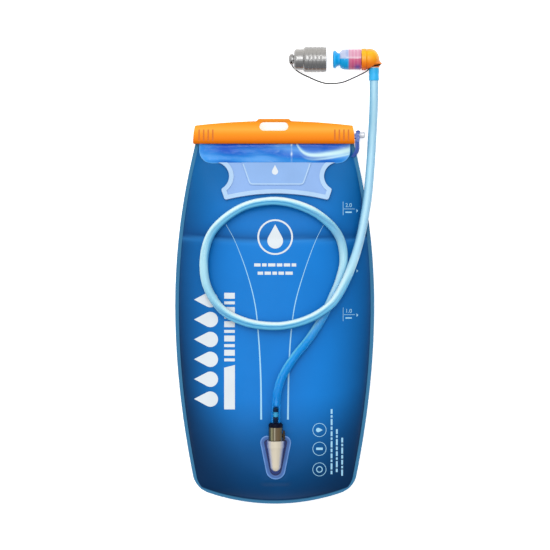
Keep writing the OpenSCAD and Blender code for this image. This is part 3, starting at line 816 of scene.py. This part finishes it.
def drop_shape(x, y, r, reach, turn=0.0, n=22):
    """A water drop: its round end has radius r, its tip is at reach along +Y before turning."""
    open_angle = math.acos(r / reach)
    start = math.pi / 2 + open_angle
    sweep = 2 * math.pi - 2 * open_angle
    outline = [Vector((r * math.cos(start + sweep * k / n), r * math.sin(start + sweep * k / n)))
               for k in range(n + 1)]
    outline.append(Vector((0, reach)))
    spin = Matrix.Rotation(turn, 2)
    outline = [spin @ p + Vector((x, y)) for p in outline]
    return [[Vector((x, y)), a, b] for a, b in zip(outline, outline[1:] + outline[:1])]


def dashes(x, y, end_y, width, lengths, gap):
    """A broken line down Y from y to end_y, its dashes taking the given lengths in turn."""
    polys = []
    k = 0
    while (low := y - lengths[k % len(lengths)]) >= end_y:
        polys += ribbon([(x, y), (x, low)], width)
        y = low - gap
        k += 1
    return polys


def figures(text, x, y, height):
    """Numerals of a scale as flat polygons."""
    curve = bpy.data.curves.new("numerals", "FONT")
    curve.body = text
    curve.size = height * 1.38
    obj = new_object("numerals", curve)
    bpy.context.view_layer.update()
    mesh = bpy.data.meshes.new_from_object(obj.evaluated_get(bpy.context.evaluated_depsgraph_get()))
    polys = [[Vector(mesh.vertices[v].co[:2]) + Vector((x, y)) for v in p.vertices] for p in mesh.polygons]
    bpy.data.objects.remove(obj)
    bpy.data.meshes.remove(mesh)
    return polys


def print_on(name, polys, tree, mats, ink="ink"):
    """Lays flat polygons on the surface in that tree as a thin layer of ink."""
    bm = bmesh.new()
    for poly in polys:
        bm.faces.new([bm.verts.new((p[0], p[1], 0)) for p in poly])
    bmesh.ops.remove_doubles(bm, verts=bm.verts, dist=1e-3)
    for _ in range(3):
        long_edges = [e for e in bm.edges if e.calc_length() > INK_EDGE]
        if not long_edges:
            break
        bmesh.ops.subdivide_edges(bm, edges=long_edges, cuts=1, use_grid_fill=False)
        bmesh.ops.triangulate(bm, faces=[f for f in bm.faces if len(f.verts) > 4])
    for v in bm.verts:
        v.co = Vector((v.co.x, v.co.y, drop_on(tree, v.co.x, v.co.y, INK_LIFT))) * MM
    bmesh.ops.recalc_face_normals(bm, faces=bm.faces)
    if sum(f.normal.z for f in bm.faces) < 0:
        bmesh.ops.reverse_faces(bm, faces=bm.faces)
    mesh = mesh_from(bm, name)
    smooth(mesh, 60)
    return add_object(name, mesh, mats[ink], "reservoir")


def guide_lines():
    """Two lines that curve down the front, widening towards the outlet."""
    left = [(-53.5, 95), (-44.2, 78), (-30.5, 42.2), (-21.4, 6.5), (-17.6, -29.3), (-15.3, -73.3),
            (-14.8, -118.7)]
    right = [(53.5, 94.5), (45.2, 78), (32, 42.2), (22, 6.5), (17.4, -29.3), (15.2, -73.3),
             (14.4, -118.7)]
    lines = []
    for route in (left, right):
        path = smooth_path([(*p, 0) for p in route], 6)
        lines += ribbon([p[:2] for p in path], 0.4, end_width=2.0)
    return lines


def volume_scale():
    """Two marks with their volumes in litres, and pointers at the edge."""
    scale = []
    for y, text in ((112, "2.0"), (-4, "1.0")):
        scale += ribbon([(75, y - 7), (75, y + 8)], 0.5)
        scale += ribbon([(75.6, y), (88, y)], 0.5)
        scale += ribbon([(77.5, y - 3.6), (84.5, y - 3.6)], 1.5)
        scale += figures(text, 77.4, y + 2.1, 4.4)
    for y in (110, 44, -4.5):
        scale += [[Vector((89.8, y + 1.9)), Vector((91.6, y)), Vector((89.8, y - 1.9))]]
    return scale


def side_pattern():
    """A column of drops at the left, beside a broken line that ends in a bar."""
    mark = []
    for k in range(6):
        mark += drop_shape(-70.5, 12.5 - 21.8 * k, 8.4, 18, math.pi / 2)
    bar = [(-55.4, -62), (-43.6, -59), (-43.6, -107.6), (-55.4, -107.6)]
    mark.append([Vector(p) for p in reversed(bar)])
    return mark + dashes(-49.5, 20, -57, 11.6, [6.4, 3.2], 3)


def middle_badge():
    """A ring with a drop in it, over two broken lines of even dashes."""
    x_mid, gap = 0.5, 1.6
    badge = ring(x_mid, 81, 19.5, 17.6, 56)
    badge += drop_shape(x_mid, 77, 8.6, 18)
    for y, lengths in ((50.5, (7, 5, 8, 6, 7, 5)), (41.5, (6, 7, 5, 6, 8))):
        x = x_mid - (sum(lengths) + gap * (len(lengths) - 1)) / 2
        for length in lengths:
            badge += ribbon([(x, y), (x + length, y)], 3.4)
            x += length + gap
    return badge


def care_icons():
    """Three small rings, each with its own sign, beside three broken lines."""
    x = 49
    icons = ring(x, -130.2, 7.6, 7.0, 36) + drop_shape(x - 1.4, -130.2, 2.4, 5, -math.pi / 2)
    icons += ring(x, -150.8, 7.6, 7.0, 36) + ribbon([(x - 3.6, -150.8), (x + 3.6, -150.8)], 2.6)
    icons += ring(x, -173.6, 7.6, 7.0, 36) + ring(x, -173.6, 3.6, 2.6, 20)
    for line_x, top in ((62.3, -107.4), (68.1, -129.5), (74, -139)):
        icons += dashes(line_x, top, -181.6, 2.0, [5.2, 2.6, 6.8, 3.8], 1.5)
    return icons


def make_prints(tree, mats):
    print_on("guide_lines", guide_lines(), tree, mats, ink="ink_pale")
    print_on("volume_scale", volume_scale(), tree, mats, ink="ink_pale")
    print_on("side_pattern", side_pattern(), tree, mats)
    print_on("middle_badge", middle_badge(), tree, mats)
    print_on("care_icons", care_icons(), tree, mats, ink="ink_pale")


# ---- Mouth ----

def mouth_tone(x, y, low, w, rumple, fine):
    """Colour of the glossy strip: violet blue under the bar, light blue below, lighter at its left end and
    edges, painted highlight and shade on its rumples, painted highlight ribbons with painted shade inside
    along the folds at the right, and painted glints.
    """
    up = clamp((y - low) / 21)
    tone = mix3(rgb(36, 146, 236), rgb(10, 96, 204), up ** 1.2)
    # Painted shade and highlight on the rumples
    tone = mix3(tone, rgb(8, 82, 204), clamp(rumple * 1.6))
    tone = mix3(tone, rgb(92, 170, 248), clamp(-rumple * 1.5))
    left = max(0, 1 - (x + w) / 26)
    tone = mix3(tone, rgb(64, 160, 246), 0.7 * left)
    # Along the folds at the right: painted highlight ribbons, with painted shade between them
    t = (x - 24) / (w - 24)
    if t > 0:
        fold_y = 184 - 14.5 * (1 - math.exp(-9 * t)) + 7.5 * t * t
        ribbon_w = 1.3 + 3.4 * t
        tone = mix3(tone, rgb(214, 250, 252), 0.95 * bell(y - fold_y, ribbon_w))
        inside = clamp((y - fold_y - 2) / 3)
        tone = mix3(tone, rgb(26, 86, 200), 0.8 * inside * (1 - 0.6 * t))
        below = bell(y - fold_y + 4.6, 0.9)
        tone = mix3(tone, rgb(200, 244, 254), 0.85 * below * min(1, t * 2))
    # A painted glint
    glint = bell(x - 18.5, 0.8) * (bell(y - 183, 1.2) + bell(y - 172.5, 1.6)) + 0.25 * bell(x - 18.5, 0.6)
    tone = mix3(tone, rgb(225, 245, 255), min(1, glint))
    edge = max(0, 1 - (y - low) / 1.4) + max(0, 1 - (w - abs(x)) / 1.2)
    tone = mix3(tone, rgb(112, 190, 245), 0.7 * min(1, edge))
    # Pale painted glints on the fine ripples
    return mix3(tone, rgb(200, 235, 250), 0.5 * max(0, fine - 0.45))


def make_mouth_films(mats):
    """Glossy outer strips, rumpled between the bag and the bar, with round lower corners."""
    half, r, low, high = 83.0, 14.0, 162.2, 195.0
    for side, name, node in ((1, "mouth_strip_front", "mouth_film_front"),
                             (-1, "mouth_strip_back", "mouth_film_back")):
        rows, tones = [], []
        n_rows, n_cols = 34, 170
        for i in range(n_rows + 1):
            y = low + (high - low) * i / n_rows
            in_corner = max(0, low + r - y)
            w = half - r + math.sqrt(max(0, r * r - in_corner ** 2))
            row, tone = [], []
            for j in range(n_cols + 1):
                x = w * (2 * j / n_cols - 1)
                free = clamp((y - low) / 4) * clamp((184.5 - y) / 4)
                free *= min(1, (w - abs(x)) / 6)
                rumple = noise.noise(Vector((x / 34, y / 8 + x / 90, 1.3 * side)))
                fine = noise.noise(Vector((x / 9, y / 4, 5.2)))
                z = 3.25 + FILM * 0.75 + free * (0.9 + 1.1 * rumple + 0.2 * fine)
                row.append((x, y, SEAM + side * min(z, 5.3)))
                tone.append(mouth_tone(x, y, low, w, rumple, fine))
            rows.append(row)
            tones.append(tone)
        mesh = grid_mesh(name, rows, tones)
        if side < 0:
            mesh.flip_normals()
        obj = add_object(name, mesh, mats["mouth_film"], "reservoir")
        thickened(obj, 0.3, -1, 70)
        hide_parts(node)


def make_end_fold(mats):
    """The film's folded edge that sticks out past the bar's right end."""
    rows = []
    n = 16
    for i in range(n + 1):
        t = i / n
        bulge = math.sin(min(1, t * 2.2) * math.pi / 2)
        y = 169 + 29 * t
        x = 87.2 + 5.8 * bulge + 0.6 * math.sin(t * 9)
        depth = 3.6 + 2.2 * bulge
        row = []
        for k in range(13):
            a = math.pi * k / 12
            row.append((x - 4.0 + 4.6 * math.sin(a), y + 0.5 * math.sin(a * 3 + t * 6),
                        SEAM + depth * math.cos(a)))
        rows.append(row)
    mesh = grid_mesh("film_fold", rows)
    mesh.flip_normals()
    obj = add_object("film_fold", mesh, mats["fold"], "reservoir")
    thickened(obj, 0.4, 0, 70)


# ---- Hard parts ----

HARD = [
    # node, piece, material, body, slot, edge radius
    ("slider", "slide_bar", "bar", "bar", "bar_orange", 0.7),
    ("rail_front", "front_rail", "rail", "reservoir", "rail", 0.3),
    ("rail_back", "back_rail", "rail", "reservoir", "rail", 0.3),
    ("rail_end_stop", "end_knob", "knob", "reservoir", "knob", 0.6),
    ("grip_plate", "filling_grip", "plate", "reservoir", "plate_milky", 0.3),
    ("port_socket", "outlet_socket", "socket", "reservoir", "socket_cream", 0.4),
    ("connector_body", "quick_connector", "olive", "hose", "smoky_olive", 0.3),
    ("connector_collar", "connector_ring", "black", "hose", "collar_black", 0.35),
    ("connector_barb", "hose_tail", "black", "hose", "collar_black", 0.15),
    ("release_button", "connector_button", "button", "button", "button_dark", 0.3),
    ("tube_collar", "hose_collar", "collar", "hose", "collar_blue", 0.4),
    ("elbow", "valve_elbow", "elbow", "elbow", "elbow_orange", 0.35),
    ("valve_core", "helix_sleeve", "pink", "core", "core_pink", 0.3),
    ("mouthpiece", "bite_piece", "bite", "valve", "bite_blue", 0.4),
    ("dust_cap", "valve_cap", "cap", "cap", "cap_grey", 0.3),
]
# CAD pieces kept as they are, each with its material
KEPT = {
    "port_poppet": "white", "poppet_seal": "rubber", "poppet_spring": "steel",
    "connector_o_ring": "rubber", "swivel_stem": "white",
    "swivel_o_ring": "rubber", "core_o_ring": "rubber", "tether_loop": "cord",
}


def paint_where(obj, material, test):
    """Gives the faces whose corners all pass the test a second material."""
    obj.data.materials.append(material)
    index = len(obj.data.materials) - 1
    for face in obj.data.polygons:
        if all(test(obj.data.vertices[v].co / MM) for v in face.vertices):
            face.material_index = index


VALVE_Y, VALVE_Z, HOUSING_R = 276.5, 14.0, 11.3


def turned_mesh(name, profile, step=0.7, sides=72):
    """A closed ring turned about the valve's axis from (radius, x) corners, with rows close together."""
    rows = []
    for (r0, x0), (r1, x1) in zip(profile, profile[1:] + profile[:1]):
        n = max(1, int(math.hypot(r1 - r0, x1 - x0) / step))
        rows += [(r0 + (r1 - r0) * k / n, x0 + (x1 - x0) * k / n) for k in range(n)]
    verts = [Vector((x, VALVE_Y + r * math.cos(2 * math.pi * k / sides),
                     VALVE_Z + r * math.sin(2 * math.pi * k / sides))) * MM
             for r, x in rows for k in range(sides)]
    faces = []
    for i in range(len(rows)):
        for k in range(sides):
            a, b = i * sides + k, i * sides + (k + 1) % sides
            c = (i + 1) % len(rows) * sides
            faces.append((a, c + k, c + (k + 1) % sides, b))
    return new_mesh(name, verts, faces)


def housing_tone(p):
    """What the thick clear wall shows: the bite plug at its left, the pink sleeve at its right, each
    lighter on its lit side, with painted highlights on the sleeve's turns and a painted highlight streak
    along the wall.
    """
    side = (p.y - VALVE_Y) / HOUSING_R
    lit = clamp(side / 0.25)
    plug = mix3(rgb(8, 172, 240), rgb(200, 210, 240), lit)
    sleeve = mix3(rgb(216, 96, 140), rgb(232, 164, 192), lit)
    tone = mix3(plug, sleeve, (p.x - 80.6) / 1.4)
    if p.x > 81:
        # Painted highlights on the sleeve's turns, stronger on the lit side
        turn = max(bell(p.x - x, 0.5) for x in (83.6, 87.4, 91.2))
        tone = mix3(tone, rgb(244, 214, 226), 0.7 * turn * (0.3 + 0.7 * lit))
        tone = mix3(tone, rgb(56, 84, 186), 0.8 * bell(p.x - 91, 3.4) * bell(side + 0.8, 0.28))
    else:
        # A painted highlight at the plug's end on the lit side
        tone = mix3(tone, rgb(150, 178, 232), 0.6 * bell(p.x - 79.5, 1.2) * lit)
    # A painted highlight streak along the wall
    return mix3(tone, rgb(246, 240, 248), 0.55 * bell(side - 0.12, 0.07))


def make_housing(mats):
    r, bore, hole = HOUSING_R, 9.35, 7.0
    tip, seat, shoulder, end = 71.5, 73.0, 78.5, 95.1
    quarter = [math.radians(a) for a in range(0, 91, 15)]
    dome = [(7.3 + (r - 7.3) * math.sin(a), shoulder - (shoulder - tip) * math.cos(a)) for a in quarter]
    mesh = turned_mesh("clear_housing", [(hole, tip)] + dome
                       + [(r, end - 0.5), (r - 0.5, end), (bore, end), (bore, seat + 3.2), (hole, seat)])
    tones = []
    for v in mesh.vertices:
        p = v.co / MM
        from_axis = math.hypot(p.y - VALVE_Y, p.z - VALVE_Z)
        inner = p.x > seat and from_axis < min(bore, hole + (p.x - seat) * 0.74) + 0.1
        tones.append((*housing_tone(p), 0.2 if inner else 0.82))
    paint(mesh, tones)
    smooth(mesh, 40)
    housing = add_object("clear_housing", mesh, mats["housing"], "valve")
    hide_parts("valve_housing")


PORT_X, MOUTH_Y, AXIS_H, FLANGE_T = 1.0, -140.4, 9.2, 1.2
PORT_PAD = SEAM + FILM + PAD_H + PORT_SLOPE * (MOUTH_Y - PAD_Y)
PORT_TILT = math.atan(PORT_SLOPE)
FLANGE_CIRCLES = [(-9.4, -3.4, 7.5), (9.4, -3.4, 7.5), (0.0, -33.4, 10.8)]
# Colours from the flange's inner field (-7.5) over its groove to its rim (0): painted shade in the field
# and the groove, painted highlights on the groove's outer lip and along the rim's edge
FLANGE_SHADE_AND_HIGHLIGHT = [(-7.5, rgb(30, 60, 136)), (-6.1, rgb(34, 64, 140)), (-5.9, rgb(8, 24, 88)),
                (-4.3, rgb(14, 32, 98)), (-4.0, rgb(88, 134, 206)), (-3.2, rgb(66, 110, 182)),
                (-1.6, rgb(70, 114, 186)), (-0.9, rgb(106, 158, 226)), (0.0, rgb(102, 154, 222))]
# Colours round the socket from its top (0) to its sides (1), its sides darker and bluer as painted shade,
# and across the connector, with two painted glints and painted shade at its sides
SOCKET_SHADE_TONES = [(0.0, rgb(224, 214, 192)), (0.5, rgb(216, 207, 188)), (0.72, rgb(176, 180, 196)),
                (1.0, rgb(116, 132, 184))]
OLIVE_GLINTS_AND_SHADE = [(-1.0, rgb(34, 48, 62)), (-0.7, rgb(64, 68, 52)), (-0.57, rgb(154, 152, 118)),
               (-0.42, rgb(112, 106, 78)), (-0.27, rgb(84, 76, 54)), (-0.14, rgb(176, 168, 146)),
               (0.0, rgb(102, 88, 66)), (0.5, rgb(108, 90, 64)), (0.78, rgb(78, 78, 64)),
               (1.0, rgb(46, 64, 86))]


def at_port(x, y, z):
    return Vector((PORT_X + x, MOUTH_Y + y * math.cos(PORT_TILT) - z * math.sin(PORT_TILT),
                   PORT_PAD + y * math.sin(PORT_TILT) + z * math.cos(PORT_TILT)))


def port_side(p):
    """Where a point lies round the outlet's axis: -1 at its left, 0 at its top, 1 at its right."""
    up = (p.z - PORT_PAD) * math.cos(PORT_TILT) - (p.y - MOUTH_Y) * math.sin(PORT_TILT) - AXIS_H
    x = p.x - PORT_X
    return x / max(0.1, math.hypot(x, up))


def flange_edge():
    """Points round the flange's edge, each with its outward direction."""
    spots = []
    for k in range(72):
        out = Vector((math.cos(math.pi * k / 36), math.sin(math.pi * k / 36)))
        x, y, r = max(FLANGE_CIRCLES, key=lambda c: c[0] * out.x + c[1] * out.y + c[2])
        spots.append((Vector((x, y)) + r * out, out))
    edge = []
    for (p, out), (q, turned) in zip(spots, spots[1:] + spots[:1]):
        parts = max(1, int((q - p).length / 2.2))
        edge += [(p.lerp(q, k / parts), out.lerp(turned, k / parts).normalized()) for k in range(parts)]
    return edge


def make_flange(mats):
    """The welded flange: rings from its bore under the socket, round its rim and groove, and back."""
    t = FLANGE_T
    bore, rings = (None, 0.0), [
        (-0.3, 0), (0, 0.3), (0, t - 0.45), (-0.13, t - 0.13), (-0.45, t), (-0.9, t), (-1.6, t), (-2.4, t),
        (-3.2, t), (-3.9, t), (-4.1, t - 0.1), (-4.2, t - 0.5), (-5.1, t - 0.5), (-6.0, t - 0.5),
        (-6.1, t - 0.1), (-6.3, t), (-7.5, t)]
    edge = flange_edge()
    verts, tones = [], []
    for grow, height in [bore] + rings + [(None, t)]:
        for p, out in edge:
            spot = Vector((0, -22)) + 3 * out if grow is None else p + grow * out
            verts.append(at_port(spot.x, spot.y, height) * MM)
            drift = 1 + 0.2 * noise.noise(Vector((spot.x / 7, spot.y / 7, 2.0)))
            tones.append(tuple(c * drift for c in between(FLANGE_SHADE_AND_HIGHLIGHT, -7.5 if grow is None else grow)))
    n, count = len(edge), len(rings) + 2
    faces = [(i * n + k, i * n + (k + 1) % n, (i + 1) % count * n + (k + 1) % n, (i + 1) % count * n + k)
             for i in range(count) for k in range(n)]
    mesh = new_mesh("outlet_flange", verts, faces)
    bm = bmesh.new()
    bm.from_mesh(mesh)
    bmesh.ops.recalc_face_normals(bm, faces=bm.faces)
    bm.to_mesh(mesh)
    bm.free()
    paint(mesh, tones)
    smooth(mesh, 40)
    flange = add_object("outlet_flange", mesh, mats["flange"], "reservoir")
    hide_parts("port_flange")


def paint_tone(obj, tone):
    """Gives each point of the piece the colour that tone(place) says."""
    paint(obj.data, (tone(v.co / MM) for v in obj.data.vertices))


def make_button_coil(mats):
    """The release button's spring, copied from its CAD part."""
    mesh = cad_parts["button_spring"].data.copy()
    coil = add_object("button_coil", mesh, mats["steel"], "hose")
    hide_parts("button_spring")
    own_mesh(coil)


def on_raised_plate(p):
    """Whether a point of the filling grip lies on its raised faces."""
    low, tilt = SEAM + 3.2 + 0.6 * PLATE_SLOPE + 0.25, math.atan(PLATE_SLOPE)
    return (p.z - low) * math.cos(tilt) + (p.y - NECK_Y + 0.6) * math.sin(tilt) > 1.75


def in_plate_middle(p):
    return abs(p.x - 2) < 39 and p.y > NECK_Y - 27


def in_bar_groove(p):
    return 8.5 < abs(p.z - SEAM) < 8.75 and abs(p.x + 1) > 60


def make_hard_parts(mats):
    made = {}
    make_button_coil(mats)
    make_housing(mats)
    make_flange(mats)
    for node, name, material, body, slot, width in HARD:
        made[node] = softened(node, name, mats[material], body, width)
    for node, material in KEPT.items():
        coloured(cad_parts[node].data, mats[material])

    paint_where(made["grip_plate"], mats["plate_rim"], on_raised_plate)
    paint_where(made["grip_plate"], mats["plate_mid"], lambda p: on_raised_plate(p) and in_plate_middle(p))
    # Painted shade towards the socket's sides
    paint_tone(made["port_socket"], lambda p: between(SOCKET_SHADE_TONES, abs(port_side(p))))
    # Painted glints and shade across the connector
    paint_tone(made["connector_body"], lambda p: between(OLIVE_GLINTS_AND_SHADE, port_side(p)))
    # Painted shade: the bar's groove floors get the darker orange
    paint_where(made["slider"], mats["bar_groove"], in_bar_groove)
    paint_where(made["rail_end_stop"], mats["fold"], lambda p: p.x < 93.3)
    # Painted highlight: the bite plug's upper side takes the lighter silicone
    paint_where(made["mouthpiece"], mats["bite_lit"], lambda p: p.x > 72.8 and p.y > 276)
    paint_where(made["connector_barb"], mats["barb_neck"], lambda p: -116.3 < p.y < -110)
    return made


def plate_edge_highlight():
    """The pale line along the edge of the plate's raised middle, below the mouth strip: a painted
    highlight.
    """
    corner = [(26.2 + 3.8 * math.cos(math.radians(a)), -21.5 + 3.8 * math.sin(math.radians(a)))
              for a in range(-18, -91, -12)]
    side = [(36.8, -1.5)] + corner
    route = [(-x, y) for x, y in side] + side[::-1]
    return ribbon([(x + 2, NECK_Y + 0.1 + y * math.cos(math.atan(PLATE_SLOPE))) for x, y in route], 1.3)


# ---- Build ----

mats = make_materials()
make_camera()
tube = make_tube(mats)
tether = make_tether(mats)
make_stage()
front = make_panel(1, "front_film", "front_panel", mats)
make_panel(-1, "back_film", "back_panel", mats)
make_prints(surface_of(front), mats)
make_mouth_films(mats)
make_end_fold(mats)
made = make_hard_parts(mats)
plate = surface_of(made["grip_plate"])
# A painted highlight along the edge of the plate's raised middle
print_on("plate_edge_highlight", plate_edge_highlight(), plate, mats, ink="plate_rim")
print_on("plate_mark", drop_shape(0.3, 153, 3.4, 7.4), plate, mats)
